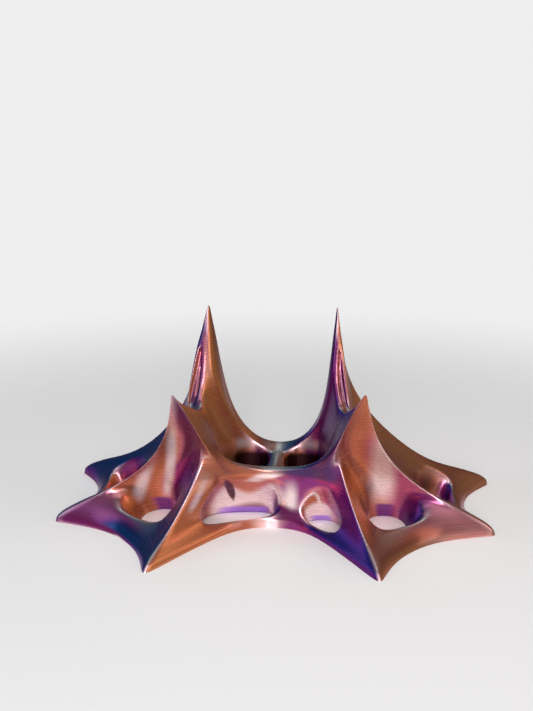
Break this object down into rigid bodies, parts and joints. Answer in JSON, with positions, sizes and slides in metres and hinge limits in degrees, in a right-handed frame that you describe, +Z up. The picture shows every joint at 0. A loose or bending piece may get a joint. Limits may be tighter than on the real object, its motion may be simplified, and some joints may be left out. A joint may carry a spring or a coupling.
{
  "type": "game controller stand",
  "caption": "Printed one-piece stand of spiky ridges and hollowed concave webs; two front horns and two rear posts cradle a game controller.",
  "frame": {"origin": "centre of the foot print on the bed plane that the stand rests on", "axes": "+Z up, -Y towards the two horns at the front, +X to the stand's right as seen from the front"},
  "size_m": [0.1942, 0.1678, 0.0894],
  "materials": {
    "silk_filament": "two-colour silk filament, copper to purple with the side it is seen from, fine horizontal layer lines"
  },
  "bodies": {
    "root": {"stand_body": "silk_filament"}
  },
  "joints": []
}
